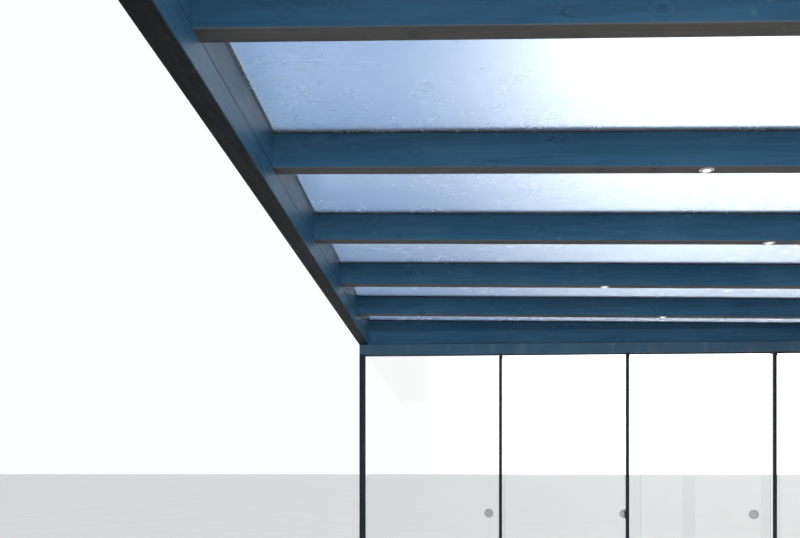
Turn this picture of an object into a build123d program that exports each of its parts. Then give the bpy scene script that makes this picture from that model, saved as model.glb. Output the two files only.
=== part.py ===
"""Timber patio roof on a wall, glazed with opal panes and closed at its far end by a glass sliding wall.

X runs away from the wall, Y along the wall and Z up. The origin is on the back face of the wall
purlin, at the middle of its length and height. All sizes are in millimetres.
"""

from build123d import *
import math
import os

os.makedirs("parts", exist_ok=True)

# Layout of the roof
rafter_count = 8
rafter_spacing = 728.0
clear_depth = 3370.0
roof_fall = 1 / 60
purlin_clear_height = 2200.0

# Timber sections
rafter_width = 54.0
rafter_height = 93.0
rafter_tail = 60.0
rafter_tail_bevel = 25.0
timber_edge_chamfer = 2.0
seat_notch = 4.5
purlin_thickness = 56.0
purlin_height = 70.0
infill_thickness = 56.0
post_size = 120.0
post_edge_chamfer = 4.0
beam_height = 140.0
header_thickness = 40.0
header_height = 80.0
header_gap = 4.0
wedge_toe = 6.0

# Wall anchors through the purlin
anchor_pairs = 3
anchor_spacing = 920.0
anchor_radius = 7.0

# Roof glazing
glass_thickness = 10.0
glass_joint = 10.0
glass_overhang = 45.0
glass_wall_gap = 4.0
glass_side_setback = 8.0
gasket_width = 48.0
gasket_height = 4.0
cap_width = 60.0
cap_height = 8.0
cap_bevel = 2.0
cap_start_gap = 0.5
trim_thickness = 3.0
trim_drop = 39.0
flashing_wall = 2.5
flashing_reach = 62.0
flashing_upstand = 70.0

# Recessed spot lights
spot_offset = 439.0
spot_setback = 13.0
spot_bezel_radius = 20.0
spot_bezel_height = 2.5
spot_face_radius = 12.5
spot_can_radius = 16.5
spot_can_sides = 8
spot_can_depth = 22.0
spot_clearance = 0.5

# Post shoes
shoe_plate_length = 200.0
shoe_plate_thickness = 8.0
shoe_height = 50.0
shoe_hole_radius = 5.5
shoe_hole_x = 80.0
shoe_hole_y = 160.0
shoe_stem_width = 40.0
shoe_seat_size = 100.0
shoe_seat_thickness = 6.0
shoe_blade_thickness = 8.0
shoe_blade_width = 80.0
shoe_blade_height = 120.0
shoe_blade_clearance = 0.5

# Gutter and downpipe
gutter_width = 100.0
gutter_height = 85.0
gutter_wall = 2.5
gutter_bend_chamfer = 2.0
gutter_back_upstand = 10.0
gutter_fold = 12.0
gutter_end_reach = 15.0
gutter_drop = 18.0
bracket_strip = 4.0
bracket_width = 25.0
bracket_clearance = 0.3
bracket_front_height = 55.0
outlet_width = 74.0
outlet_offset = 25.0
outlet_length = 60.0
pipe_wall = 2.7
pipe_corner = 3.0
pipe_overlap = 40.0
pipe_clearance = 0.3
pipe_bend_height = 160.0
pipe_shoe_angle = 60.0
pipe_shoe_length = 110.0
clip_height = 25.0
clip_wall = 3.0
clip_stem_width = 10.0
clip_heights = (1750.0, 450.0)

# Glass sliding wall at the far end
track_count = 4
track_pitch = 25.0
rail_width = 110.0
rail_height = 59.0
rail_web = 3.0
groove_width = 22.0
floor_rail_base = 5.0
ridge_width = 6.0
ridge_height = 16.0
side_profile_depth = 28.0
side_profile_wall = 3.0
pane_width = 858.0
pane_thickness = 10.0
pane_top_engagement = 25.0
pane_arris = 1.0
first_pane_gap = 8.0
first_pane_lap = 34.0
third_pane_gap = 11.0
last_pane_gap = 12.0
seal_width = 18.0
seal_wall = 1.5
seal_fin = 5.0
seal_fin_width = 6.0
seal_top_gap = 6.0
seal_cap_height = 18.0
seal_cap_extra = 3.0
shoe_profile_width = 18.0
shoe_profile_floor_gap = 21.0
shoe_profile_height = 45.0
shoe_profile_pocket = 18.0
shoe_profile_chamfer = 3.0
pocket_clearance = 0.3
wheel_inset = 90.0
wheel_radius = 14.0
wheel_root_radius = 10.0
wheel_width = 12.0
wheel_pocket_length = 44.0
wheel_pocket_width = 14.0
wheel_pocket_height = 25.0
wheel_running_gap = 0.9
axle_radius = 2.5
axle_sides = 8
pull_inset = 97.0
pull_height = 1162.0
pull_flange_radius = 28.0
pull_flange_thickness = 2.0
pull_body_radius = 24.0
pull_hole_clearance = 0.3
pull_dish_radius = 21.0
pull_dish_depth = 3.5
pull_dish_taper = 40.0

# Places worked out from the sizes above
fall_angle = math.degrees(math.atan(roof_fall))
roof_length = (rafter_count - 1) * rafter_spacing + rafter_width
roof_end = roof_length / 2
rafter_y = [(i - (rafter_count - 1) / 2) * rafter_spacing for i in range(rafter_count)]
purlin_top = purlin_height / 2
purlin_under = -purlin_height / 2
ground = purlin_under - purlin_clear_height
beam_outer = clear_depth + post_size
rafter_end = beam_outer + rafter_tail
glass_end = rafter_end + glass_overhang


def rafter_under(x):
    """Height of the rafters' sloping underside."""
    return purlin_top - seat_notch - x * roof_fall


def rafter_top(x):
    return rafter_under(x) + rafter_height


def glass_under(x):
    return rafter_top(x) + gasket_height


def glass_top(x):
    return glass_under(x) + glass_thickness


beam_top = rafter_under(clear_depth) + seat_notch
beam_under = beam_top - beam_height
rail_top = min(purlin_under, rafter_under(clear_depth) - wedge_toe)
rail_bottom = rail_top - rail_height
post_y = [-roof_end + post_size / 2, 0.0, roof_end - post_size / 2]
post_x = clear_depth + post_size / 2
rail_middle = roof_end - rail_width / 2
track_y = [rail_middle + (i - (track_count - 1) / 2) * track_pitch for i in range(track_count)]
pane_y = list(reversed(track_y))
first_left = side_profile_depth + first_pane_gap
last_left = clear_depth - side_profile_wall - last_pane_gap - pane_width
pane_rest_left = (
    first_left,
    first_left + pane_width - first_pane_lap,
    last_left - third_pane_gap - pane_width,
    last_left,
)


def save(piece, name):
    """Labels a finished piece and writes it to its own file."""
    piece.part.label = name
    export_step(piece.part, f"parts/{name}.step")


def save_together(pieces, name):
    """Writes pieces that touch but stay separate solids to one file."""
    group = Compound([solid for piece in pieces for solid in piece.part.solids()])
    group.label = name
    export_step(group, f"parts/{name}.step")


def across(y_high):
    """Plane for an outline drawn in X and Z, whose extrusion runs from y_high towards the near end."""
    return Plane.XZ.offset(-y_high)


def along_slope(x, y, z):
    """Plane square to the fall of the roof, with its own X along the wall and its own Y upwards."""
    slope = math.radians(fall_angle)
    return Plane(origin=(x, y, z), x_dir=(0, 1, 0), z_dir=(math.cos(slope), 0, -math.sin(slope)))


def rafter_underside(x, y):
    """Plane on a rafter's underside that faces down out of the timber."""
    slope = math.radians(fall_angle)
    return Plane(
        origin=(x, y, rafter_under(x)),
        x_dir=(math.cos(slope), 0, -math.sin(slope)),
        z_dir=(-math.sin(slope), 0, -math.cos(slope)),
    )


def spot_places(index):
    """Distances from the wall of one rafter's spot lights: two and one by turns, none at the ends."""
    middle = clear_depth / 2 - spot_setback
    if index in (0, rafter_count - 1):
        return []
    if index % 2 == 1:
        return [middle - spot_offset, middle + spot_offset]
    return [middle]


# Wall purlin with a row of anchor holes
anchor_y = [(i - (2 * anchor_pairs - 1) / 2) * anchor_spacing for i in range(2 * anchor_pairs)]
with BuildPart() as wall_purlin:
    with BuildSketch(Plane.YZ):
        Rectangle(roof_length, purlin_height)
    extrude(amount=purlin_thickness)
    chamfer(wall_purlin.edges().filter_by(Axis.Y).group_by(Axis.X)[-1], timber_edge_chamfer)
    with Locations(Plane.YZ.offset(purlin_thickness)):
        with Locations(*[(y, 0) for y in anchor_y]):
            Hole(anchor_radius)
save(wall_purlin, "wall_purlin")

# Infill blocks between the rafters, over the purlin and over the front beam
with BuildPart() as infill_blocks:
    for low, high in zip(rafter_y, rafter_y[1:]):
        for x, seat in ((0.0, purlin_top), (clear_depth, beam_top)):
            with BuildSketch(across(high - rafter_width / 2)):
                with BuildLine():
                    back = x + infill_thickness
                    Polyline(
                        (x, seat),
                        (back, seat),
                        (back, glass_under(back)),
                        (x, glass_under(x)),
                        close=True,
                    )
                make_face()
            extrude(amount=high - low - rafter_width)
save(infill_blocks, "infill_blocks")


def make_rafter(index):
    """Rafter with a birdsmouth over the purlin, one over the front beam and a bevelled tail."""
    bevel_start = rafter_end - rafter_tail_bevel
    with BuildPart() as rafter:
        with BuildSketch(across(rafter_y[index] + rafter_width / 2)):
            with BuildLine():
                Polyline(
                    (0, purlin_top),
                    (purlin_thickness, purlin_top),
                    (purlin_thickness, rafter_under(purlin_thickness)),
                    (clear_depth, rafter_under(clear_depth)),
                    (clear_depth, beam_top),
                    (beam_outer, beam_top),
                    (beam_outer, rafter_under(beam_outer)),
                    (bevel_start, rafter_under(bevel_start)),
                    (rafter_end, rafter_under(rafter_end) + rafter_tail_bevel),
                    (rafter_end, rafter_top(rafter_end)),
                    (0, rafter_top(0)),
                    close=True,
                )
            make_face()
        extrude(amount=rafter_width)
        under_length = (clear_depth - purlin_thickness) / math.cos(math.radians(fall_angle))
        lower = rafter.edges().filter_by(lambda e: math.isclose(e.length, under_length, rel_tol=1e-6))
        chamfer(lower, timber_edge_chamfer)
        for x in spot_places(index):
            with BuildSketch(rafter_underside(x, rafter_y[index])):
                RegularPolygon(spot_can_radius + spot_clearance, spot_can_sides)
            extrude(amount=-(spot_can_depth + spot_clearance), mode=Mode.SUBTRACT)
    return rafter


for i in range(rafter_count):
    save(make_rafter(i), f"rafter_{i + 1}")

# Spot lights, each a sloped bezel round a flat face, on a can that is hidden in the rafter
bezel_slope = math.degrees(math.atan((spot_bezel_radius - spot_face_radius) / spot_bezel_height))
spot_planes = [rafter_underside(x, y) for i, y in enumerate(rafter_y) for x in spot_places(i)]
with BuildPart() as spot_bezels:
    for face in spot_planes:
        with BuildSketch(face):
            Circle(spot_bezel_radius)
        extrude(amount=spot_bezel_height, taper=bezel_slope)
with BuildPart() as spot_cans:
    for face in spot_planes:
        with BuildSketch(face):
            RegularPolygon(spot_can_radius, spot_can_sides)
        extrude(amount=-spot_can_depth)
save_together([spot_bezels, spot_cans], "spot_lights")


def make_roof_pane(bay):
    """Opal pane from rafter to rafter, or to the verge at either end of the roof."""
    low = rafter_y[bay] + glass_joint / 2
    high = rafter_y[bay + 1] - glass_joint / 2
    if bay == 0:
        low = -roof_end + glass_side_setback
    if bay == rafter_count - 2:
        high = roof_end - glass_side_setback
    with BuildPart() as pane:
        with BuildSketch(across(high)):
            with BuildLine():
                Polyline(
                    (glass_wall_gap, glass_under(glass_wall_gap)),
                    (glass_end, glass_under(glass_end)),
                    (glass_end, glass_top(glass_end)),
                    (glass_wall_gap, glass_top(glass_wall_gap)),
                    close=True,
                )
            make_face()
        extrude(amount=high - low)
    return pane


for i in range(rafter_count - 1):
    save(make_roof_pane(i), f"roof_pane_{i + 1}")

# Rubber strips between the rafters and the glass
with BuildPart() as glazing_gaskets:
    for y in rafter_y:
        with BuildSketch(across(y + gasket_width / 2)):
            with BuildLine():
                Polyline(
                    (glass_wall_gap, rafter_top(glass_wall_gap)),
                    (rafter_end, rafter_top(rafter_end)),
                    (rafter_end, glass_under(rafter_end)),
                    (glass_wall_gap, glass_under(glass_wall_gap)),
                    close=True,
                )
            make_face()
        extrude(amount=gasket_width)
save(glazing_gaskets, "glazing_gaskets")

# Cover caps over the glass joints and the two verges
cap_start = flashing_reach + cap_start_gap
cap_length = (glass_end - cap_start) / math.cos(math.radians(fall_angle))
half_cap = cap_width / 2
verge = rafter_width / 2
cap_spans = {y: (-half_cap, half_cap) for y in rafter_y[1:-1]}
cap_spans[rafter_y[0]] = (-verge - trim_thickness, half_cap)
cap_spans[rafter_y[-1]] = (-half_cap, verge + trim_thickness)
with BuildPart() as cap_bars:
    for y, (low, high) in cap_spans.items():
        with BuildSketch(along_slope(cap_start, y, glass_top(cap_start))):
            with BuildLine():
                Polyline(
                    (low, 0),
                    (low, cap_height - cap_bevel),
                    (low + cap_bevel, cap_height),
                    (high - cap_bevel, cap_height),
                    (high, cap_height - cap_bevel),
                    (high, 0),
                    close=True,
                )
            make_face()
        extrude(amount=cap_length)

# Plates at the caps' low ends that stop the glass, and trims under the verge caps
stop_height = glass_thickness + cap_height - cap_bevel
with BuildPart() as cap_stops:
    for y, (low, high) in cap_spans.items():
        with BuildSketch(Plane.YZ.offset(glass_end)):
            with Locations((y + (low + high) / 2, glass_under(glass_end))):
                Rectangle(high - low, stop_height, align=(Align.CENTER, Align.MIN))
        extrude(amount=trim_thickness)
with BuildPart() as verge_trims:
    for side in (-1, 1):
        with BuildSketch(along_slope(cap_start, side * rafter_y[-1], glass_top(cap_start))):
            with Locations((side * (verge + trim_thickness / 2), 0)):
                Rectangle(trim_thickness, trim_drop, align=(Align.CENTER, Align.MAX))
        extrude(amount=cap_length - glass_overhang)
save_together([cap_bars, cap_stops, verge_trims], "glazing_caps")

# Flashing against the wall: an upright, a sloped apron over the caps' ends and a lip down to the glass
flashing_end = roof_end + trim_thickness
lip_back = flashing_reach - flashing_wall


def apron_under(x):
    return glass_top(x) + cap_height


def apron_top(x):
    return apron_under(x) + flashing_wall


flashing_outlines = (
    (
        (0, apron_top(0)),
        (flashing_wall, apron_top(flashing_wall)),
        (flashing_wall, glass_top(0) + flashing_upstand),
        (0, glass_top(0) + flashing_upstand),
    ),
    (
        (0, apron_under(0)),
        (flashing_reach, apron_under(flashing_reach)),
        (flashing_reach, apron_top(flashing_reach)),
        (0, apron_top(0)),
    ),
    (
        (lip_back, glass_top(lip_back)),
        (flashing_reach, glass_top(flashing_reach)),
        (flashing_reach, apron_under(flashing_reach)),
        (lip_back, apron_under(lip_back)),
    ),
)


def make_flashing_strip(outline):
    """One flat strip of the flashing, as long as the roof with its trims."""
    with BuildPart() as strip:
        with BuildSketch(across(flashing_end)):
            with BuildLine():
                Polyline(*outline, close=True)
            make_face()
        extrude(amount=2 * flashing_end)
    return strip


save_together([make_flashing_strip(outline) for outline in flashing_outlines], "wall_flashing")

# Front beam on the posts
with BuildPart() as front_beam:
    with BuildSketch(across(roof_end)):
        with Locations((post_x, beam_under)):
            Rectangle(post_size, beam_height, align=(Align.CENTER, Align.MIN))
    extrude(amount=roof_length)
    lower = front_beam.edges().filter_by(Axis.Y).group_by(Axis.Z)[0]
    chamfer(lower, timber_edge_chamfer)
save(front_beam, "front_beam")


def make_post(y):
    """Square post whose foot is slotted for the blade of its shoe."""
    foot = ground + shoe_height
    with BuildPart() as post:
        with BuildSketch(Plane.XY.offset(foot)):
            with Locations((post_x, y)):
                Rectangle(post_size, post_size)
        extrude(amount=beam_under - foot)
        chamfer(post.edges().filter_by(Axis.Z), post_edge_chamfer)
        with BuildSketch(Plane.XY.offset(foot)):
            with Locations((post_x, y)):
                Rectangle(
                    shoe_blade_width + 2 * shoe_blade_clearance,
                    shoe_blade_thickness + 2 * shoe_blade_clearance,
                )
        extrude(amount=shoe_blade_height + shoe_blade_clearance, mode=Mode.SUBTRACT)
    return post


for name, y in zip(("post_near", "post_middle", "post_far"), post_y):
    save(make_post(y), name)

# Steel shoes that hold the posts off the ground
with BuildPart() as post_shoes:
    for y in post_y:
        with BuildSketch(Plane.XY.offset(ground)):
            with Locations((post_x, y)):
                Rectangle(post_size, shoe_plate_length)
                with GridLocations(shoe_hole_x, shoe_hole_y, 2, 2):
                    Circle(shoe_hole_radius, mode=Mode.SUBTRACT)
        extrude(amount=shoe_plate_thickness)
        with BuildSketch(Plane.XY.offset(ground + shoe_plate_thickness)):
            with Locations((post_x, y)):
                Rectangle(shoe_stem_width, shoe_stem_width)
        extrude(amount=shoe_height - shoe_plate_thickness - shoe_seat_thickness)
        with BuildSketch(Plane.XY.offset(ground + shoe_height - shoe_seat_thickness)):
            with Locations((post_x, y)):
                Rectangle(shoe_seat_size, shoe_seat_size)
        extrude(amount=shoe_seat_thickness)
        with BuildSketch(Plane.XY.offset(ground + shoe_height)):
            with Locations((post_x, y)):
                Rectangle(shoe_blade_width, shoe_blade_thickness)
        extrude(amount=shoe_blade_height)
save(post_shoes, "post_shoes")

# Box gutter with a folded front rim and closed ends, and the square outlet under its floor
bracket_gap = bracket_strip + bracket_clearance
gutter_back = rafter_end + bracket_gap
gutter_x = gutter_back + gutter_width / 2
gutter_top = rafter_top(rafter_end) - gutter_drop
gutter_bottom = gutter_top - gutter_height
gutter_end = roof_end + gutter_end_reach
outlet_y = post_y[-1] - outlet_offset
outlet_inner = outlet_width - 2 * gutter_wall
with BuildPart() as gutter:
    with BuildSketch(across(gutter_end)):
        with Locations((gutter_x, gutter_bottom)):
            Rectangle(gutter_width, gutter_height, align=(Align.CENTER, Align.MIN))
    extrude(amount=2 * gutter_end)
    chamfer(
        gutter.edges().filter_by(Axis.Y).group_by(Axis.Z)[0],
        gutter_bend_chamfer,
    )
    with BuildSketch(across(gutter_end - gutter_wall)):
        with Locations((gutter_x, gutter_bottom + gutter_wall)):
            Rectangle(
                gutter_width - 2 * gutter_wall,
                gutter_height,
                align=(Align.CENTER, Align.MIN),
            )
    extrude(amount=2 * (gutter_end - gutter_wall), mode=Mode.SUBTRACT)
    with BuildSketch(across(gutter_end)):
        with Locations((gutter_back, gutter_top)):
            Rectangle(gutter_wall, gutter_back_upstand, align=(Align.MIN, Align.MIN))
        with Locations((gutter_back + gutter_width, gutter_top)):
            Rectangle(gutter_fold, gutter_wall, align=(Align.MAX, Align.MAX))
    extrude(amount=2 * gutter_end)
    with BuildSketch(Plane.XY.offset(gutter_bottom)):
        with Locations((gutter_x, outlet_y)):
            Rectangle(outlet_inner, outlet_inner)
    extrude(amount=gutter_wall, mode=Mode.SUBTRACT)
with BuildPart() as gutter_outlet:
    with BuildSketch(Plane.XY.offset(gutter_bottom)):
        with Locations((gutter_x, outlet_y)):
            Rectangle(outlet_width, outlet_width)
            Rectangle(outlet_inner, outlet_inner, mode=Mode.SUBTRACT)
    extrude(amount=-outlet_length)
save_together([gutter, gutter_outlet], "gutter")

# Square downpipe over the outlet stub, with a mitred shoe at its foot
pipe_inner = outlet_width + 2 * pipe_clearance
pipe_outer = pipe_inner + 2 * pipe_wall
pipe_top = gutter_bottom - outlet_length + pipe_overlap
pipe_bend = ground + pipe_bend_height
shoe_turn = math.radians(pipe_shoe_angle)
bend_point = (gutter_x, outlet_y, pipe_bend)
mitre = Plane(
    origin=bend_point,
    x_dir=(0, 1, 0),
    z_dir=(math.sin(shoe_turn / 2), 0, -math.cos(shoe_turn / 2)),
)
shoe_section = Plane(
    origin=bend_point,
    x_dir=(0, 1, 0),
    z_dir=(math.sin(shoe_turn), 0, -math.cos(shoe_turn)),
)
with BuildPart() as pipe_run:
    with BuildSketch(Plane.XY.offset(pipe_top)) as ring:
        with Locations((gutter_x, outlet_y)):
            Rectangle(pipe_outer, pipe_outer)
        chamfer(ring.vertices(), pipe_corner)
        with Locations((gutter_x, outlet_y)):
            Rectangle(pipe_inner, pipe_inner, mode=Mode.SUBTRACT)
    extrude(amount=-(pipe_top - pipe_bend + pipe_outer))
    split(bisect_by=mitre, keep=Keep.BOTTOM)
with BuildPart() as pipe_shoe:
    with BuildSketch(shoe_section.offset(pipe_shoe_length)) as ring:
        Rectangle(pipe_outer, pipe_outer)
        chamfer(ring.vertices(), pipe_corner)
        Rectangle(pipe_inner, pipe_inner, mode=Mode.SUBTRACT)
    extrude(amount=-(pipe_shoe_length + pipe_outer))
    split(bisect_by=mitre, keep=Keep.TOP)
save_together([pipe_run, pipe_shoe], "downpipe")

# Steel straps that carry the gutter, and clips that hold the downpipe to the post
strap_low = gutter_bottom - bracket_gap
strap_front = gutter_back + gutter_width + bracket_gap
with BuildPart() as gutter_fixings:
    for y in rafter_y:
        with BuildSketch(across(y + bracket_width / 2)):
            with BuildLine():
                Polyline(
                    (rafter_end, strap_low),
                    (strap_front, strap_low),
                    (strap_front, strap_low + bracket_front_height),
                    (strap_front - bracket_strip, strap_low + bracket_front_height),
                    (strap_front - bracket_strip, strap_low + bracket_strip),
                    (rafter_end + bracket_strip, strap_low + bracket_strip),
                    (rafter_end + bracket_strip, gutter_top + gutter_back_upstand),
                    (rafter_end, gutter_top + gutter_back_upstand),
                    close=True,
                )
            make_face()
        extrude(amount=bracket_width)
    ring_inner = pipe_outer + 2 * pipe_clearance
    ring_outer = ring_inner + 2 * clip_wall
    for height in clip_heights:
        with BuildSketch(Plane.XY.offset(ground + height)):
            with Locations((gutter_x, outlet_y)):
                Rectangle(ring_outer, ring_outer)
                Rectangle(ring_inner, ring_inner, mode=Mode.SUBTRACT)
        extrude(amount=clip_height)
        with BuildSketch(Plane.YZ.offset(beam_outer)):
            with Locations((outlet_y, ground + height + clip_height / 2)):
                Rectangle(clip_stem_width, clip_stem_width)
        extrude(amount=gutter_x - ring_outer / 2 - beam_outer)
save(gutter_fixings, "gutter_fixings")

# Level header plank on the inner face of the far rafter, and the wedge under that rafter
header_bottom = rail_top + header_gap
header_outer = roof_end - rafter_width
with BuildPart() as side_header:
    with BuildSketch(across(header_outer)):
        with Locations((purlin_thickness, header_bottom)):
            Rectangle(clear_depth - purlin_thickness, header_height, align=(Align.MIN, Align.MIN))
    extrude(amount=header_thickness)
    chamfer(
        side_header.edges().filter_by(Axis.X).group_by(Axis.Z)[0].group_by(Axis.Y)[0],
        timber_edge_chamfer,
    )
save(side_header, "side_header")

with BuildPart() as levelling_wedge:
    with BuildSketch(across(roof_end)):
        with BuildLine():
            Polyline(
                (purlin_thickness, rail_top),
                (clear_depth, rail_top),
                (clear_depth, rafter_under(clear_depth)),
                (purlin_thickness, rafter_under(purlin_thickness)),
                close=True,
            )
        make_face()
    extrude(amount=rafter_width)
save(levelling_wedge, "levelling_wedge")

# Top rail with a groove for each pane
with BuildPart() as top_rail:
    with BuildSketch(Plane.YZ):
        with Locations((rail_middle, rail_bottom)):
            Rectangle(rail_width, rail_height, align=(Align.CENTER, Align.MIN))
        with Locations(*[(y, rail_bottom) for y in track_y]):
            Rectangle(
                groove_width,
                rail_height - rail_web,
                align=(Align.CENTER, Align.MIN),
                mode=Mode.SUBTRACT,
            )
    extrude(amount=clear_depth)
save(top_rail, "top_rail")

# Floor rail with a round-topped ridge for each pane
ridge_length = clear_depth - 2 * side_profile_depth
ridge_shoulder = ridge_height - ridge_width / 2
with BuildPart() as rail_base:
    with BuildSketch(Plane.YZ.offset(side_profile_depth)):
        with Locations((rail_middle, ground)):
            Rectangle(rail_width, floor_rail_base, align=(Align.CENTER, Align.MIN))
    extrude(amount=ridge_length)
with BuildPart() as rail_ridges:
    with BuildSketch(Plane.YZ.offset(side_profile_depth)):
        with Locations(*[(y, ground + floor_rail_base) for y in track_y]):
            Rectangle(ridge_width, ridge_shoulder - floor_rail_base, align=(Align.CENTER, Align.MIN))
        with Locations(*[(y, ground + ridge_shoulder) for y in track_y]):
            Circle(ridge_width / 2)
    extrude(amount=ridge_length)
save_together([rail_base, rail_ridges], "floor_rail")


def make_side_profile(x_web, direction):
    """Upright channel that the stack of panes runs into, on the wall or on the far post."""
    with BuildPart() as profile:
        with BuildSketch(Plane.XY.offset(ground)):
            with Locations((x_web + direction * side_profile_depth / 2, rail_middle)):
                Rectangle(side_profile_depth, rail_width)
            with Locations((x_web + direction * (side_profile_depth / 2 + side_profile_wall), rail_middle)):
                Rectangle(side_profile_depth, rail_width - 2 * side_profile_wall, mode=Mode.SUBTRACT)
        extrude(amount=rail_bottom - ground)
    return profile


save(make_side_profile(0.0, 1), "wall_profile")
save(make_side_profile(clear_depth, -1), "post_profile")

# Heights of a sliding pane's parts
shoe_bottom = ground + shoe_profile_floor_gap
shoe_top = shoe_bottom + shoe_profile_height
pane_bottom = shoe_top - shoe_profile_pocket
pane_top = rail_bottom + pane_top_engagement
wheel_z = ground + ridge_height + wheel_running_gap + wheel_root_radius
pull_z = ground + pull_height


def make_sliding_pane(left, y):
    """Frameless toughened pane with ground edges and a hole for its finger pull."""
    with BuildPart() as pane:
        with BuildSketch(across(y + pane_thickness / 2)):
            with Locations((left, pane_bottom)):
                Rectangle(pane_width, pane_top - pane_bottom, align=(Align.MIN, Align.MIN))
        extrude(amount=pane_thickness)
        chamfer(pane.edges().filter_by(Axis.Z), pane_arris)
        with BuildSketch(across(y + pane_thickness / 2)):
            with Locations((left + pane_width - pull_inset, pull_z)):
                Circle(pull_body_radius + pull_hole_clearance)
        extrude(amount=pane_thickness, mode=Mode.SUBTRACT)
    return pane


def wheel_places(left):
    return (left + wheel_inset, left + pane_width - wheel_inset)


def make_wheels(left, y):
    """Grooved wheels, each with the hidden axle that ends on the walls of its pocket."""
    with BuildPart() as wheels:
        for x in wheel_places(left):
            with BuildSketch(Plane.XY.offset(wheel_z)):
                with BuildLine():
                    rim = x + wheel_radius
                    Polyline(
                        (x, y - wheel_width / 2),
                        (x, y + wheel_width / 2),
                        (rim, y + wheel_width / 2),
                        (x + wheel_root_radius, y),
                        (rim, y - wheel_width / 2),
                        close=True,
                    )
                make_face()
            revolve(axis=Axis((x, y, wheel_z), (0, 1, 0)))
            with BuildSketch(across(y + wheel_pocket_width / 2)):
                with Locations((x, wheel_z)):
                    RegularPolygon(axle_radius, axle_sides)
            extrude(amount=wheel_pocket_width)
    return wheels


def make_pane_fittings(left, y):
    """Bottom profile with a pocket for each wheel, and the dished finger pull in the glass."""
    pull_x = left + pane_width - pull_inset
    with BuildPart() as fittings:
        with BuildSketch(Plane.YZ.offset(left)):
            with Locations((y, shoe_bottom)):
                Rectangle(shoe_profile_width, shoe_profile_height, align=(Align.CENTER, Align.MIN))
            with Locations((y, pane_bottom)):
                Rectangle(
                    pane_thickness + 2 * pocket_clearance,
                    shoe_profile_pocket,
                    align=(Align.CENTER, Align.MIN),
                    mode=Mode.SUBTRACT,
                )
        extrude(amount=pane_width)
        outer = fittings.edges().filter_by(Axis.X).group_by(Axis.Z)[-1].sort_by(Axis.Y)
        chamfer([outer[0], outer[-1]], shoe_profile_chamfer)
        with BuildSketch(Plane.XY.offset(shoe_bottom)):
            with Locations(*[(x, y) for x in wheel_places(left)]):
                Rectangle(wheel_pocket_length, wheel_pocket_width)
        extrude(amount=wheel_pocket_height, mode=Mode.SUBTRACT)
        for side in (-1, 1):
            with BuildSketch(across(y + side * pane_thickness / 2)):
                with Locations((pull_x, pull_z)):
                    Circle(pull_flange_radius)
            extrude(amount=-side * pull_flange_thickness)
        with BuildSketch(across(y + pane_thickness / 2)):
            with Locations((pull_x, pull_z)):
                Circle(pull_body_radius)
        extrude(amount=pane_thickness)
        for side in (-1, 1):
            face = pane_thickness / 2 + pull_flange_thickness
            with BuildSketch(across(y + side * face)):
                with Locations((pull_x, pull_z)):
                    Circle(pull_dish_radius)
            extrude(
                amount=side * pull_dish_depth,
                taper=pull_dish_taper,
                mode=Mode.SUBTRACT,
            )
    return fittings


def make_pane_seal(left, y):
    """Black edge seal on the wall side of a pane, with a fin that reaches towards the next pane out."""
    seal_top = rail_bottom - seal_top_gap
    outer_width = pane_thickness + 2 * seal_wall
    with BuildPart() as seal:
        with BuildSketch(Plane.XY.offset(shoe_top)):
            with Locations((left - seal_wall, y)):
                Rectangle(seal_width, outer_width, align=(Align.MIN, Align.CENTER))
            with Locations((left, y)):
                Rectangle(seal_width, pane_thickness, align=(Align.MIN, Align.CENTER), mode=Mode.SUBTRACT)
            with Locations((left - seal_wall, y + outer_width / 2)):
                Rectangle(seal_fin_width, seal_fin, align=(Align.MIN, Align.MIN))
        extrude(amount=seal_top - shoe_top)
        with BuildSketch(Plane.XY.offset(seal_top - seal_cap_height)):
            with Locations((left - seal_wall, y)):
                Rectangle(
                    seal_width + seal_cap_extra,
                    outer_width + 2 * seal_wall,
                    align=(Align.MIN, Align.CENTER),
                )
            with Locations((left, y)):
                Rectangle(
                    seal_width + seal_cap_extra,
                    pane_thickness,
                    align=(Align.MIN, Align.CENTER),
                    mode=Mode.SUBTRACT,
                )
        extrude(amount=seal_cap_height)
    return seal


for i, (left, y) in enumerate(zip(pane_rest_left, pane_y)):
    save(make_sliding_pane(left, y), f"sliding_pane_{i + 1}")
    save_together([make_pane_fittings(left, y), make_wheels(left, y)], f"pane_fittings_{i + 1}")
for i in range(1, track_count):
    save(make_pane_seal(pane_rest_left[i], pane_y[i]), f"pane_seal_{i + 1}")
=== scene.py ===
# %% [markdown]
# # A patio roof with a glass sliding side wall
#
# The real thing is a timber frame painted blue-grey. It is fixed to a wall, it carries opal glass, and a
# row of four clear panes closes one end. The solids come from the CAD model, and this lesson gives them
# their finishes and adds the small things that a fitter brings last: lenses, plugs, screws, brushes and
# beads.
#
# We start with the frame, because every later piece is placed by the solids that it sits on.

# %% Load the frame
import math
import random

import bmesh
import bpy
from mathutils import Matrix, Vector


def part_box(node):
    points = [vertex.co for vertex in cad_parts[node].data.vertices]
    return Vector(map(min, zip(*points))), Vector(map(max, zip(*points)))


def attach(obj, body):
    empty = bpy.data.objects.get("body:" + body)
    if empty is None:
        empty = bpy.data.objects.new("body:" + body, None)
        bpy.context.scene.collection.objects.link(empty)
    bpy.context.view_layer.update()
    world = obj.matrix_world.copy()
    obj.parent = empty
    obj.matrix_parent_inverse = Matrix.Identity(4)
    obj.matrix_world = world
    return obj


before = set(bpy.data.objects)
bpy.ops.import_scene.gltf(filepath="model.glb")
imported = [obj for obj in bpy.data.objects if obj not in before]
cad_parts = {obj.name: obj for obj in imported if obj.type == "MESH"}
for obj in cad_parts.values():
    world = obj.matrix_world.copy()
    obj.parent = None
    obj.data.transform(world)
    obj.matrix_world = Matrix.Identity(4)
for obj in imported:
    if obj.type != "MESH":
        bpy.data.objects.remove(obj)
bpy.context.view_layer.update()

random.seed(20)

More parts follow.
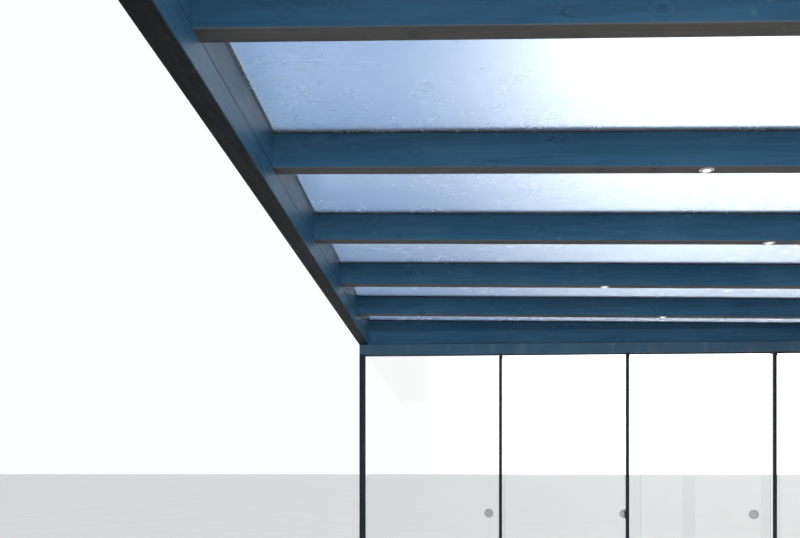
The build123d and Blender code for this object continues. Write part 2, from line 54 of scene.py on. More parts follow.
# %% [markdown]
# ## Shader maths in plain signs
#
# A material is a graph, and a graph that is written link by link is hard to read. We could also type the
# maths as node names, but `dust * 0.2 + 0.3` says more. So one small class wraps a socket and lets Python's
# own signs add the Math nodes, and one class holds the material with a short method for every other node.

# %% A socket that takes signs
class Number:
    """An output socket of a material, with Python's signs for its Math nodes."""

    def __init__(self, finish, socket):
        self.finish = finish
        self.socket = socket

    def math(self, operation, first, second=None):
        inputs = {0: first}
        if second is not None:
            inputs[1] = second
        return self.finish.node("ShaderNodeMath", {"operation": operation}, inputs, 0)

    def __add__(self, other):
        return self.math("ADD", self, other)

    def __sub__(self, other):
        return self.math("SUBTRACT", self, other)

    def __mul__(self, other):
        return self.math("MULTIPLY", self, other)

    def __abs__(self):
        return self.math("ABSOLUTE", self)

    def __gt__(self, other):
        return self.math("GREATER_THAN", self, other)

    def most(self, other):
        return self.math("MAXIMUM", self, other)

    def sine(self):
        return self.math("SINE", self)


# %% A material with one method for its nodes
class Finish:
    """A procedural material on the object's own coordinates, in metres."""

    def __init__(self, name, **constants):
        self.material = bpy.data.materials.new(name)
        self.material.use_nodes = True
        self.tree = self.material.node_tree
        self.surface = self.tree.nodes["Principled BSDF"]
        for socket, value in constants.items():
            self.surface.inputs[socket.replace("_", " ")].default_value = value
        coordinates = self.tree.nodes.new("ShaderNodeTexCoord")
        self.place = Number(self, coordinates.outputs["Object"])

    def node(self, kind, settings, inputs, output):
        node = self.tree.nodes.new(kind)
        for name, value in settings.items():
            setattr(node, name, value)
        for name, value in inputs.items():
            if isinstance(value, Number):
                self.tree.links.new(value.socket, node.inputs[name])
            else:
                node.inputs[name].default_value = value
        return Number(self, node.outputs[output])

    def stretched(self, x, y, z):
        return self.node("ShaderNodeVectorMath", {"operation": "MULTIPLY"}, {0: self.place, 1: (x, y, z)}, 0)

    def noise(self, place, scale, detail=4.0, roughness=0.5):
        inputs = {"Vector": place, "Scale": scale, "Detail": detail, "Roughness": roughness}
        return self.node("ShaderNodeTexNoise", {}, inputs, 0)

    def cells(self, place, scale, output="Distance", feature="F1"):
        inputs = {"Vector": place, "Scale": scale}
        return self.node("ShaderNodeTexVoronoi", {"feature": feature}, inputs, output)

    def between(self, value, low, high):
        settings = {"interpolation_type": "SMOOTHSTEP"}
        inputs = {"Value": value, "From Min": low, "From Max": high}
        return self.node("ShaderNodeMapRange", settings, inputs, 0)

    def mix(self, factor, first, second):
        settings = {"data_type": "RGBA", "clamp_factor": True}
        return self.node("ShaderNodeMix", settings, {0: factor, 6: first, 7: second}, 2)

    def part_of(self, vector, axis):
        return self.node("ShaderNodeSeparateXYZ", {}, {0: vector}, axis)

    def facing(self, axis):
        geometry = self.node("ShaderNodeNewGeometry", {}, {}, "Normal")
        return self.part_of(geometry, axis)

    def bump(self, height, distance, strength=1.0):
        inputs = {"Height": height, "Distance": distance, "Strength": strength}
        return self.node("ShaderNodeBump", {}, inputs, "Normal")

    def set(self, **links):
        for socket, value in links.items():
            self.tree.links.new(value.socket, self.surface.inputs[socket.replace("_", " ")])
        return self.material


def rgb(red, green, blue):
    """A screen colour from 0 to 255, in the linear light that a shader works in."""
    parts = [c / 255 for c in (red, green, blue)]
    linear = [c / 12.92 if c <= 0.04045 else ((c + 0.055) / 1.055) ** 2.4 for c in parts]
    return (*linear, 1.0)


print("blue-grey in linear light:", [round(c, 3) for c in rgb(60, 88, 106)])

# %% [markdown]
# ## Painted timber
#
# The beams are planed softwood under two coats of satin paint. The paint hides the colour of the wood but
# not its shape: the grain stands up a few hundredths of a millimetre, and a knot shows as a slightly darker
# eye with the grain bent round it. A photograph of wood would repeat and has to be wrapped. Noise that is
# stretched along the piece never repeats, so we stretch it, with one version for each way a beam can run.
#
# The same paint looks teal on the faces that the glass lights and warm grey on the faces that only see the
# ground. One colour would have to choose, so the light is painted in: the sides get the lit teal, and faces
# that point down turn to a painted shade colour, warm where the ground lights them.

# %% Paint over grain
def painted_timber(name, stretch, painted_underside_shade=rgb(78, 76, 74)):
    """Satin paint on timber, with the grain along the axis whose stretch is small, and painted shade below.
    """
    timber = Finish(name, Specular_IOR_Level=0.11)
    knot = timber.cells(timber.place, 9.0)
    bend = timber.between(knot, 0.30, 0.05)
    swirl = timber.noise(timber.place, 5.0, 2.0)
    run = timber.stretched(*stretch)
    wander = timber.noise(run, 1.0, 3.0)
    rings = ((wander * 30.0) + (bend * 9.0) + (swirl * 4.0)).sine()
    fibre = timber.noise(run, 6.0, 5.0, 0.65)
    eye = timber.between(knot, 0.14, 0.10)
    eye_edge = eye * timber.between(knot, 0.07, 0.12)
    split = timber.between(abs(timber.noise(run, 0.45, 2.0) - 0.5), 0.0035, 0.0)
    split = split * timber.between(timber.noise(timber.place, 1.7, 2.0), 0.52, 0.60)
    patch = timber.noise(timber.place, 2.4, 5.0, 0.6)
    dust = timber.between(timber.noise(timber.place, 38.0, 6.0, 0.7), 0.58, 0.80)
    # Painted shade: faces that point down turn from the lit teal to the underside colour, which stands in for
    # the dim light from the ground.
    below = timber.between(timber.facing("Z"), -0.45, -0.90)
    side = timber.mix(patch, rgb(16, 53, 78), rgb(44, 75, 96))
    light = timber.mix(below, side, painted_underside_shade)
    grained = timber.mix((rings * 0.5 + 0.5) * 0.18 + fibre * 0.14, light, rgb(6, 26, 42))
    knotted = timber.mix((eye * 0.22).most(split * 0.5), grained, rgb(10, 22, 32))
    dusty = timber.mix(dust * 0.14 + 0.005, knotted, rgb(140, 146, 148))
    height = rings * 0.12 + fibre * 0.7 + eye_edge * 0.35 - eye * 0.15 - split * 0.9
    rough = timber.between(fibre, 0.2, 0.8) * 0.14 + patch * 0.16 + below * 0.22 + 0.28
    return timber.set(Base_Color=dusty, Roughness=rough, Normal=timber.bump(height, 0.0004, 0.7))


timber_along = {
    "X": painted_timber("timber_out_from_wall", (1.6, 26.0, 26.0)),
    # The timbers along the wall get a near-black underside: a painted shadow of the house wall, which the
    # scene leaves out.
    "Y": painted_timber("timber_along_wall", (26.0, 1.6, 26.0), rgb(9, 7, 7)),
    "Z": painted_timber("timber_upright", (26.0, 26.0, 1.6)),
}
print("timber finishes:", [m.name for m in timber_along.values()])

# %% [markdown]
# ## Glass, opal and clear
#
# The roof panes are two sheets with a milky film between them. They let light through but no view, and rain
# leaves pale blotches and faint runs down the slope. The side panes are clear, with a green tint that only
# shows along their ground edges. A full glass shader for both would be right for the clear panes, but opal
# glass scatters. So it gets a rough surface that lets less through, and a seventh of it is a translucent
# film, as in a lamp shade. Without the film the caps would show through the glass as hard dark bands.

# %% Opal roof glass
opal = Finish("opal_roof_glass", Transmission_Weight=0.86, IOR=1.45, Specular_IOR_Level=0.4)
haze = opal.noise(opal.place, 1.1, 3.0, 0.5)
rain_field = opal.between(opal.noise(opal.place, 2.2, 2.0), 0.48, 0.58)
ripple = opal.node("ShaderNodeTexNoise", {}, {"Vector": opal.place, "Scale": 30.0, "Detail": 2.0}, "Color")
nudged = {0: ripple, 1: (0.012, 0.012, 0.012), 2: opal.place}
wavy = opal.node("ShaderNodeVectorMath", {"operation": "MULTIPLY_ADD"}, nudged, 0)
chosen = opal.part_of(opal.cells(wavy, 16.0, "Color"), "X") > 0.74
drop_rim = opal.between(abs(opal.cells(wavy, 16.0) - 0.19), 0.035, 0.0) * rain_field * chosen
puddle = opal.noise(opal.place, 21.0, 3.0, 0.5)
shore = opal.between(abs(puddle - 0.62), 0.012, 0.002) * rain_field
runs = opal.between(opal.noise(opal.stretched(2.4, 20.0, 8.0), 1.0, 4.0, 0.6), 0.58, 0.80)
film = opal.mix(haze, rgb(236, 245, 254), rgb(244, 249, 255))
washed = opal.mix(runs * 0.20, film, rgb(245, 249, 253))
marks = (shore * 0.25).most(drop_rim * 0.8)
opal_glass = opal.set(
    Base_Color=opal.mix(marks * 0.5, washed, rgb(255, 255, 255)),
    Roughness=haze * 0.10 + runs * 0.05 + marks * 0.2 + 0.20,
    Normal=opal.bump(marks, 0.0006, 0.5),
)
milk = opal.node("ShaderNodeBsdfTranslucent", {}, {"Color": rgb(178, 208, 240)}, "BSDF")
glassy = Number(opal, opal.surface.outputs["BSDF"])
milk_share = 0.14
milky = opal.node("ShaderNodeMixShader", {}, {0: milk_share, 1: glassy, 2: milk}, 0)
opal.tree.links.new(milky.socket, opal.tree.nodes["Material Output"].inputs["Surface"])

# %% Clear side glass
clear = Finish("clear_side_glass", Transmission_Weight=1.0, IOR=1.5)
edge = clear.between(abs(clear.facing("Y")), 0.9, 0.5)
wiped = clear.between(clear.noise(clear.stretched(2.0, 1.0, 3.5), 1.6, 6.0, 0.65), 0.50, 0.85)
tint = clear.mix(edge, rgb(251, 253, 252), rgb(150, 202, 186))
clear_glass = clear.set(Base_Color=tint, Roughness=wiped * 0.04 + edge * 0.22 + 0.004)
print("glass finishes:", opal_glass.name, clear_glass.name)

# %% [markdown]
# ## Powder coat, bare metal and rubber
#
# Powder coat is baked dust: it sets to a fine orange peel, and it is a little rougher than paint. Anodised
# metal is drawn through rollers, which leaves lines along its length. Hot zinc freezes in flakes, and each
# flake mirrors the light in its own way, so its colour and gloss come from Voronoi cells. Rubber is almost
# black, and rough all over, with a bloom of dust.

# %% Coated aluminium
def powder_coat(name, dark, pale, wash=0.16, shine=0.5):
    coat = Finish(name, Specular_IOR_Level=shine)
    skin = coat.noise(coat.place, 420.0, 3.0, 0.55)
    weather = coat.noise(coat.place, 5.0, 6.0, 0.6)
    rain = coat.between(coat.noise(coat.stretched(9.0, 9.0, 0.9), 1.4, 5.0, 0.6), 0.48, 0.78)
    dust = coat.between(coat.facing("Z"), 0.4, 1.0) * coat.between(weather, 0.35, 0.7)
    colour = coat.mix(weather, dark, pale)
    streaked = coat.mix(rain * wash, colour, rgb(136, 142, 142))
    dusted = coat.mix(dust * 0.35, streaked, rgb(150, 148, 138))
    rough = skin * 0.1 + rain * 0.12 + dust * 0.15 + 0.34
    return coat.set(Base_Color=dusted, Roughness=rough, Normal=coat.bump(skin, 0.00012, 0.7))


coat_blue = powder_coat("powder_coat_blue_grey", rgb(25, 51, 70), rgb(43, 71, 90))
coat_black = powder_coat("powder_coat_near_black", rgb(10, 14, 22), rgb(20, 26, 36), 0.05, 0.3)


# %% Anodised, galvanised and rubber
def drawn_metal(name, stretch, dark, pale):
    metal = Finish(name, Metallic=1.0)
    lines = metal.noise(metal.stretched(*stretch), 9.0, 5.0, 0.7)
    smear = metal.between(metal.noise(metal.place, 14.0, 5.0, 0.6), 0.45, 0.75)
    colour = metal.mix(lines * 0.7 + smear * 0.3, dark, pale)
    return metal.set(
        Base_Color=colour,
        Roughness=lines * 0.14 + smear * 0.10 + 0.22,
        Normal=metal.bump(lines, 0.00008, 0.6),
    )


anodised = drawn_metal("anodised_lines_along", (0.6, 60.0, 60.0), rgb(186, 189, 191), rgb(226, 228, 229))

zinc = Finish("hot_dip_zinc", Metallic=0.85)
flake = zinc.part_of(zinc.cells(zinc.place, 95.0, "Color"), "X")
seam = zinc.between(zinc.cells(zinc.place, 95.0, "Distance", "DISTANCE_TO_EDGE"), 0.0, 0.06)
bloom = zinc.between(zinc.noise(zinc.place, 22.0, 6.0, 0.65), 0.52, 0.74)
spangle = zinc.mix(flake, rgb(136, 141, 144), rgb(186, 190, 192))
galvanised = zinc.set(
    Base_Color=zinc.mix(bloom * 0.5, spangle, rgb(196, 197, 192)),
    Roughness=flake * 0.16 + bloom * 0.22 + 0.30,
    Normal=zinc.bump(seam * 0.4 + flake * 0.6, 0.00006, 0.5),
)

tyre = Finish("matt_black_seal", Specular_IOR_Level=0.35)
bloomed = tyre.between(tyre.noise(tyre.place, 30.0, 6.0, 0.65), 0.46, 0.80)
pores = tyre.noise(tyre.place, 900.0, 2.0)
rubber = tyre.set(
    Base_Color=tyre.mix(bloomed * 0.5, rgb(16, 19, 24), rgb(58, 60, 62)),
    Roughness=bloomed * 0.15 + 0.62,
    Normal=tyre.bump(pores, 0.00005, 0.6),
)
print("metals and rubber:", anodised.name, galvanised.name, rubber.name)

# %% [markdown]
# ## Finishes on the solids
#
# The CAD nodes already have the right shape, so they only need the right material in their slots. The grain
# has to run along each beam, so rafters, planks and posts are listed by the way they run.

# %% Dress the nodes
def dress(names, material):
    for name in names:
        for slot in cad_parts[name].material_slots:
            slot.material = material


every = list(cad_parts)
rafters = [n for n in every if n.startswith("rafter_")]
dress(rafters + ["side_header", "levelling_wedge"], timber_along["X"])
dress(["wall_purlin", "infill_blocks", "front_beam"], timber_along["Y"])
dress(["post_near", "post_middle", "post_far"], timber_along["Z"])
dress([n for n in every if n.startswith("roof_pane_")], opal_glass)
dress([n for n in every if n.startswith("sliding_pane_")], clear_glass)
dress(["top_rail", "floor_rail", "gutter", "downpipe", "glazing_caps", "wall_flashing"], coat_blue)
dress(["wall_profile", "post_profile"], coat_black)
dress(["post_shoes", "gutter_fixings"], galvanised)
dress(["spot_lights"] + [n for n in every if n.startswith("pane_fittings_")], anodised)
dress(["glazing_gaskets"] + [n for n in every if n.startswith("pane_seal_")], rubber)
print("dressed", len(every), "nodes")

# %% [markdown]
# ## Small turned things
#
# Screws, lenses, plugs and washers are all round about an axis. They could be spheres and cylinders pushed
# into one another, but a lathe is what makes the real ones: a short profile, spun once round. So one helper
# spins a list of radius and height pairs and turns it to where its axis points. A second helper makes an
# object of a shape, and a third adds a plain block.

# %% A lathe and a way to finish a piece
def turned(shape, profile, place, axis=(0, 0, 1), steps=12):
    """Spins radius and height pairs round an axis, with its foot at place."""
    turn = Vector((0, 0, 1)).rotation_difference(Vector(axis)).to_matrix().to_4x4()
    stand = Matrix.Translation(place) @ turn
    line = [bmesh.ops.create_vert(shape, co=(r, 0.0, z))["vert"][0] for r, z in profile]
    edges = [shape.edges.new(pair) for pair in zip(line, line[1:])]
    bmesh.ops.spin(
        shape, geom=line + edges, cent=(0, 0, 0), axis=(0, 0, 1), angle=math.tau, steps=steps, use_merge=True
    )
    made = {v for f in shape.faces if f.tag is False for v in f.verts} | set(line)
    for face in shape.faces:
        face.tag = True
    bmesh.ops.transform(shape, matrix=stand, verts=list(made))


def finished(shape, name, body, material, merge=1e-5):
    """Makes a named object of a shape, with closed poles and normals outwards, and lets it ride a body."""
    bmesh.ops.remove_doubles(shape, verts=shape.verts, dist=merge)
    bmesh.ops.recalc_face_normals(shape, faces=shape.faces)
    mesh = bpy.data.meshes.new(name)
    shape.to_mesh(mesh)
    shape.free()
    mesh.materials.append(material)
    thing = bpy.data.objects.new(name, mesh)
    bpy.context.scene.collection.objects.link(thing)
    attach(thing, body)
    print(name, "has", len(mesh.polygons), "faces")


def slab(shape, low, high):
    """A block between two corners."""
    size = Vector(high) - Vector(low)
    place = Matrix.Translation((Vector(low) + Vector(high)) / 2) @ Matrix.Diagonal((*size, 1.0))
    bmesh.ops.create_cube(shape, size=1.0, matrix=place)


# %% [markdown]
# ## Where the roof's own lines run
#
# The roof falls one in sixty, so anything that is fixed to it follows that slope. We read the heights from
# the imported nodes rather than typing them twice: a pane's highest corner lies at the wall, and the rest
# follows.

# %% Lines of the roof
fall = 1 / 60
rafter_y = [sum(c[1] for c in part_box(f"rafter_{i}")) / 2 for i in range(1, 9)]
pane_low, pane_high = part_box("roof_pane_2")
purlin_low, purlin_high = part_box("wall_purlin")
seat_notch = 0.0045


def glass_top(x):
    return pane_high[2] - (x - pane_low[0]) * fall


def timber_under(x):
    return purlin_high[2] - seat_notch - x * fall


down = Vector((-fall, 0, -1)).normalized()
up = -down
print("rafters at", [round(y, 3) for y in rafter_y], "glass at the wall", round(glass_top(0), 4))

# %% [markdown]
# ## Lenses of the spot lights
#
# A spot is a sloped metal ring round a small domed lens that glows warm. The ring is in the CAD model, with
# a flat face. The lens could be a flat glowing disc, but a real one bulges and is brightest in the middle,
# which the moulded facets of its optic break up. So a turned dome gets a warm glow with a cellular pattern.

# %% Warm lenses
lens_finish = Finish("warm_lens", Roughness=0.18, Coat_Weight=0.6, Emission_Strength=1.2)
facet = lens_finish.cells(lens_finish.place, 900.0)
glow = lens_finish.mix(facet, (1.0, 0.95, 0.84, 1.0), (1.0, 0.80, 0.52, 1.0))
moulded = lens_finish.mix(facet, rgb(255, 250, 238), rgb(226, 214, 190))
warm_lens = lens_finish.set(Emission_Color=glow, Base_Color=moulded)

spot_middle, spot_apart = 1.672, 0.439
spot_x = {1: (spot_middle - spot_apart, spot_middle + spot_apart), 0: (spot_middle,)}
lens_profile = [
    (0.0, 0.0044), (0.004, 0.0043), (0.0075, 0.0038), (0.0100, 0.0031), (0.0114, 0.0024), (0.0, 0.0024)
]
lenses = bmesh.new()
count = 0
for index, y in enumerate(rafter_y[1:-1], start=1):
    for x in spot_x[index % 2]:
        turned(lenses, lens_profile, Vector((x, y, timber_under(x))), down, 20)
        count += 1
finished(lenses, "spot_lenses", "frame", warm_lens)
print("spot lenses:", count)

# %% [markdown]
# ## Plugs over the wall anchors
#
# Six anchors hold the purlin. Their heads are sunk, and the fitter closes each hole with a painted plug, so
# that only a hair-thin ring shows. Leaving the holes open would look unfinished, and filling them flush
# would hide them, so each plug stands a third of a millimetre back with an eased edge.

# %% Timber plugs
plugs = bmesh.new()
anchor_step = 0.92
plug_x = purlin_high[0] - 0.0003
plug_profile = [(0.0, 0.0), (0.0060, 0.0), (0.0068, -0.0008), (0.0068, -0.010), (0.0, -0.010)]
for k in range(6):
    turned(plugs, plug_profile, Vector((plug_x, (k - 2.5) * anchor_step, 0.0)), (1, 0, 0), 24)
finished(plugs, "anchor_plugs", "frame", timber_along["Y"])

# %% [markdown]
# ## Screws of the caps and the flashing
#
# Each glass joint is closed by a cap that is screwed down every third of a metre through a rubber-backed
# washer. There are dozens of them, so a screw has to be light: one profile for washer and head together,
# spun in ten steps, gives the rounded look for fifty faces.

# %% Cap and flashing screws
screw_profile = [
    (0.0085, 0.0), (0.0085, 0.0011), (0.0052, 0.0019), (0.0050, 0.0040), (0.0032, 0.0052), (0.0, 0.0055)
]
cap_high = 0.008
screws = bmesh.new()
first_screw, screw_step = 0.13, 0.365
places = [first_screw + i * screw_step for i in range(10)]
for y in rafter_y:
    for x in places:
        turned(screws, screw_profile, Vector((x, y, glass_top(x) + cap_high)), up, 10)
flash_low, flash_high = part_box("wall_flashing")
flashing_steel, flash_inset, flash_drop = 0.0025, 0.1, 0.025
flash_screws = 11
for k in range(flash_screws):
    along = k * (flash_high[1] - flash_low[1] - 2 * flash_inset) / (flash_screws - 1)
    spot = Vector((flashing_steel, flash_low[1] + flash_inset + along, flash_high[2] - flash_drop))
    turned(screws, screw_profile, spot, (1, 0, 0), 10)
finished(screws, "cap_screws", "frame", galvanised)
print("screws:", len(rafter_y) * len(places) + flash_screws)

# %% [markdown]
# ## Sealant along the wall flashing
#
# Rain would run behind the flashing, so a bead of sealant is drawn along its top edge. A gun and a finger
# leave it uneven. A smooth tube would look like wire, so a quarter-round strip is cut into short lengths
# and each cross-section is nudged a little.

# %% Sealant bead
bead = bmesh.new()
top = flash_high[2]
section = [(0.0, 0.0), (0.0, 0.006), (0.0016, 0.0052), (0.0024, 0.0030), (0.0025, 0.0)]
ring = [bmesh.ops.create_vert(bead, co=(x, flash_low[1], top + z))["vert"][0] for x, z in section]
strip = bead.faces.new(ring)
bead_foot, bead_least, bead_most = 0.002, 0.0026, 0.0068
pieces_long = 130
step = (flash_high[1] - flash_low[1]) / pieces_long
for k in range(pieces_long):
    grown = bmesh.ops.extrude_face_region(bead, geom=[strip])["geom"]
    strip = [g for g in grown if isinstance(g, bmesh.types.BMFace)][0]
    verts = [g for g in grown if isinstance(g, bmesh.types.BMVert)]
    bmesh.ops.translate(bead, vec=(0, step, 0), verts=verts)
    swell = random.uniform(-0.0006, 0.0007)
    for v in verts:
        if v.co.z > top + bead_foot:
            v.co.z = min(top + bead_most, max(top + bead_least, v.co.z + swell))
finished(bead, "sealant_bead", "frame", rubber)

# %% [markdown]
# ## Nuts and bolts at the post feet
#
# Every post stands on a steel shoe. Four anchors hold its plate down, and two bolts cross the post through
# the hidden blade. A hexagon could be cut from a cylinder, but a cone primitive with six sides already is
# one. Its upper edge is bevelled, as on any nut that has been turned.

# %% Nuts, studs and through bolts
def hexagon(shape, place, axis, radius, height):
    turn = Vector((0, 0, 1)).rotation_difference(Vector(axis)).to_matrix().to_4x4()
    stand = Matrix.Translation(Vector(place) + Vector(axis) * height / 2) @ turn
    made = bmesh.ops.create_cone(
        shape, cap_ends=True, segments=6, radius1=radius, radius2=radius, depth=height, matrix=stand
    )["verts"]
    lid = Vector(place) + Vector(axis) * height
    on_lid = {v for v in made if abs((v.co - lid).dot(Vector(axis))) < 1e-5}
    rim = {e for v in made for e in v.link_edges if on_lid.issuperset(e.verts)}
    bmesh.ops.bevel(
        shape, geom=list(rim), offset=radius * 0.12, segments=1, profile=0.5, affect="EDGES", material=-1
    )
    for face in shape.faces:
        face.tag = True


bolts = bmesh.new()
plate_steel = 0.008
plate_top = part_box("post_shoes")[0][2] + plate_steel
washer_top = 0.0018
nut_radius, nut_high, head_high = 0.0092, 0.0084, 0.0064
anchor_x, anchor_y = 0.04, 0.08
bolt_low, bolt_high, bolt_shift = 0.045, 0.095, 0.018
washer = [(0.0055, 0.0), (0.0105, 0.0), (0.0105, washer_top), (0.0055, washer_top)]
stud = [(0.0050, 0.0), (0.0050, 0.0200), (0.0042, 0.0212), (0.0, 0.0212)]
for post in ("post_near", "post_middle", "post_far"):
    low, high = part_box(post)
    x = (low[0] + high[0]) / 2
    y = (low[1] + high[1]) / 2
    for dx in (-anchor_x, anchor_x):
        for dy in (-anchor_y, anchor_y):
            spot = Vector((x + dx, y + dy, plate_top))
            turned(bolts, washer, spot, (0, 0, 1), 14)
            hexagon(bolts, spot + Vector((0, 0, washer_top)), (0, 0, 1), nut_radius, nut_high)
            turned(bolts, stud, spot, (0, 0, 1), 12)
    for shift, rise in ((-bolt_shift, bolt_low), (bolt_shift, bolt_high)):
        for side in (-1, 1):
            face = Vector((x + shift, y + side * (high[1] - low[1]) / 2, low[2] + rise))
            turned(bolts, washer, face, (0, side, 0), 14)
            hexagon(bolts, face + Vector((0, side * washer_top, 0)), (0, side, 0), nut_radius, head_high)
finished(bolts, "shoe_bolts", "frame", galvanised, merge=1e-6)

# %% [markdown]
# ## Brushes in the top rail
#
# Each groove of the rail has a pile brush on both sides, which keeps the draught out and stops the glass
# from knocking. Single bristles are far too fine to model along three metres, so a strip with a ragged
# lower edge stands for them, and fine noise across it gives the pile.

# %% Pile brushes
pile = Finish("black_pile", Specular_IOR_Level=0.2)
hairs = pile.noise(pile.stretched(900.0, 900.0, 40.0), 1.0, 3.0, 0.6)
brush = pile.set(
    Base_Color=pile.mix(hairs, rgb(12, 13, 15), rgb(52, 53, 56)),
    Roughness=hairs * 0.1 + 0.8,
    Normal=pile.bump(hairs, 0.0004, 0.9),
)
rail_low, rail_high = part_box("top_rail")
rail_end = 0.004
parts = 60
part_long = (rail_high[0] - rail_low[0] - 2 * rail_end) / parts
brush_from, brush_to, brush_gap = 0.0062, 0.0109, 0.0004
brush_low, brush_ragged, brush_high = 0.002, 0.0008, 0.009
brushes = bmesh.new()
for index in range(1, 5):
    low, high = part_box(f"sliding_pane_{index}")
    middle = (low[1] + high[1]) / 2
    for side in (-1, 1):
        inner, outer = sorted((middle + side * brush_from, middle + side * brush_to))
        for k in range(parts):
            start = rail_low[0] + rail_end + k * part_long
            end = start + part_long
            slab(
                brushes,
                (start, inner, rail_low[2] + brush_low + random.uniform(0.0, brush_ragged)),
                (end - brush_gap, outer, rail_low[2] + brush_high),
            )
finished(brushes, "rail_brushes", "frame", brush, merge=1e-7)

# %% [markdown]
# ## Fixings of the channels, straps and downpipe
#
# The upright channels are screwed through their webs, and each gutter strap is riveted to the gutter's
# front. Where the pipe is pushed over the outlet, its mouth is folded back into a collar: an open square
# tube with rounded corners, given a thickness.

# %% Channel screws and strap rivets
fixings = bmesh.new()
flat_head = [(0.0046, 0.0), (0.0046, 0.0006), (0.0036, 0.0016), (0.0014, 0.0020), (0.0, 0.0012)]
wall_low, wall_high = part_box("wall_profile")
post_low, post_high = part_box("post_profile")
middle = (wall_low[1] + wall_high[1]) / 2
web, end_gap, screws_high = 0.003, 0.15, 6
for k in range(screws_high):
    z = wall_low[2] + end_gap + k * (wall_high[2] - wall_low[2] - 2 * end_gap) / (screws_high - 1)
    turned(fixings, flat_head, Vector((wall_low[0] + web, middle, z)), (1, 0, 0), 10)
    turned(fixings, flat_head, Vector((post_high[0] - web, middle, z)), (-1, 0, 0), 10)
strap_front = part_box("gutter_fixings")[1][0]
back_upstand, gutter_deep, strap_gap = 0.010, 0.085, 0.0043
strap_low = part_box("gutter")[1][2] - back_upstand - gutter_deep - strap_gap
rivets_up = (0.022, 0.044)
for y in rafter_y:
    for z in rivets_up:
        turned(fixings, flat_head, Vector((strap_front, y, strap_low + z)), (1, 0, 0), 10)
finished(fixings, "small_screws", "frame", galvanised)

# %% Collar of the pipe
pipe_low, pipe_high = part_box("downpipe")
pipe_half = (pipe_high[1] - pipe_low[1]) / 2
collar_drop, collar_proud, collar_high, collar_wall, corner_round = 0.009, 0.0018, 0.014, 0.0015, 0.0035
pipe_y = (pipe_low[1] + pipe_high[1]) / 2
pipe_middle = Vector((pipe_low[0] + pipe_half, pipe_y, pipe_high[2] - collar_drop))
collar = bmesh.new()
collar_wide = 2 * (pipe_half + collar_proud)
tube = Matrix.Translation(pipe_middle) @ Matrix.Diagonal((collar_wide, collar_wide, collar_high, 1.0))
bmesh.ops.create_cube(collar, size=1.0, matrix=tube)
lids = [f for f in collar.faces if abs(f.normal.z) > 0.9]
bmesh.ops.delete(collar, geom=lids, context="FACES_ONLY")
corners = [e for e in collar.edges if abs(e.verts[0].co.z - e.verts[1].co.z) > collar_high / 2]
bmesh.ops.bevel(
    collar, geom=corners, offset=corner_round, segments=4, profile=0.5, affect="EDGES", material=-1
)
bmesh.ops.solidify(collar, geom=collar.faces[:], thickness=collar_wall)
finished(collar, "pipe_collar", "frame", coat_blue)

# %% [markdown]
# ## Floor, light and camera
#
# The camera stands where the photo was taken: at the roof's near end, half a metre from the wall, and level,
# with the lens shifted up so that uprights stay upright. The light is a pale studio dome. One even
# brightness would make the opal panes look like grey card, so the dome is white on the open side, where the
# glass then glows, and a soft blue on the wall side. Two large weak lamps add the shape.

# %% Floor
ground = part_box("post_shoes")[0][2]
mesh = bpy.data.meshes.new("studio_floor")
sheet = bmesh.new()
level = Matrix.Translation((0, 0, ground))
bmesh.ops.create_grid(sheet, x_segments=1, y_segments=1, size=200.0, matrix=level)
sheet.to_mesh(mesh)
sheet.free()
studio_floor = bpy.data.objects.new("studio_floor", mesh)
bpy.context.scene.collection.objects.link(studio_floor)
plain = Finish("pale_floor", Specular_IOR_Level=0.2)
tone = plain.noise(plain.place, 1.2, 5.0, 0.55)
mesh.materials.append(
    plain.set(Base_Color=plain.mix(tone, rgb(206, 197, 186), rgb(218, 210, 199)), Roughness=tone * 0.1 + 0.75)
)

# %% World and lamps
class Dome(Finish):
    """The world's own graph, with the same methods as a finish. Its place is the way a ray looks."""

    def __init__(self, name):
        self.material = bpy.data.worlds.new(name)
        self.material.use_nodes = True
        self.tree = self.material.node_tree
        self.surface = self.tree.nodes["Background"]
        coordinates = self.tree.nodes.new("ShaderNodeTexCoord")
        self.place = Number(self, coordinates.outputs["Object"])


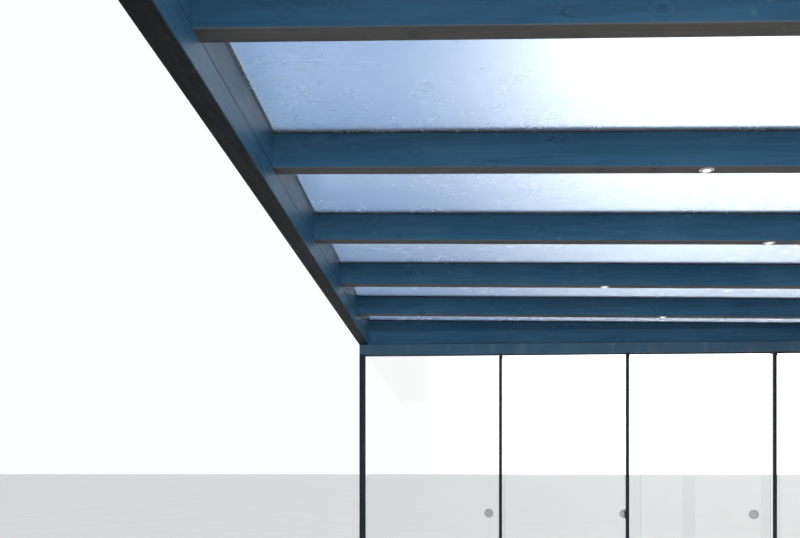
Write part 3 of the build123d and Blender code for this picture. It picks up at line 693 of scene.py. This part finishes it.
dome = Dome("studio_dome")
outward = dome.between(dome.part_of(dome.place, "X"), -0.04, 0.26)
beyond = dome.between(dome.part_of(dome.place, "Y"), 0.0, 0.5)
behind = dome.between(dome.part_of(dome.place, "Y"), 0.1, -0.4)
open_side = dome.between(dome.part_of(dome.place, "X"), -0.3, 0.5)
high = dome.between(dome.part_of(dome.place, "Z"), 0.13, 0.17)
sky = dome.mix(high, (1.05, 1.05, 1.05, 1.0), (0.24, 0.44, 0.76, 1.0))
glowing = dome.mix(outward * beyond, sky, (4.2, 4.2, 4.2, 1.0))
near_side = dome.mix(open_side, (0.50, 0.55, 0.60, 1.0), (0.95, 0.95, 0.95, 1.0))
around = dome.mix(behind, glowing, near_side)
seen = dome.node("ShaderNodeLightPath", {}, {}, "Is Camera Ray")
bpy.context.scene.world = dome.set(Color=dome.mix(seen, around, (0.98, 0.99, 1.0, 1.0)))


def soft_lamp(name, place, target, size, power, cone=180):
    lamp = bpy.data.lights.new(name, "AREA")
    lamp.shape = "DISK"
    lamp.size = size
    lamp.energy = power
    lamp.spread = math.radians(cone)
    thing = bpy.data.objects.new(name, lamp)
    thing.location = place
    thing.rotation_euler = (Vector(target) - Vector(place)).to_track_quat("-Z", "Y").to_euler()
    # A clear pane would mirror the lamp's disc, and Cycles counts that mirror image as transmission.
    thing.visible_glossy = False
    thing.visible_transmission = False
    bpy.context.scene.collection.objects.link(thing)


soft_lamp("key", (6.4, -9.6, -0.9), (1.8, 1.0, 0.1), 3.0, 390, 75)
soft_lamp("fill", (9.0, -4.0, 3.0), (1.8, 0.5, -0.6), 5.0, 300)

# %% Camera
picture_wide, picture_high, sensor = 800, 538, 36.0
focal_px, horizon_row = 838.2, 468.2
camera_data = bpy.data.cameras.new("photo_view")
camera_data.sensor_width = sensor
camera_data.lens = focal_px / picture_wide * sensor
camera_data.shift_y = (horizon_row - picture_high / 2) / picture_wide
camera_data.clip_end = 200.0
camera = bpy.data.objects.new("photo_view", camera_data)
camera.location = (0.531, -2.666, -0.794)
camera.rotation_euler = (math.radians(90), 0.0, math.radians(3.136))
bpy.context.scene.collection.objects.link(camera)
bpy.context.scene.camera = camera
bpy.context.scene.view_settings.view_transform = "Standard"
print("lens", round(camera_data.lens, 2), "mm, shift", round(camera_data.shift_y, 3))
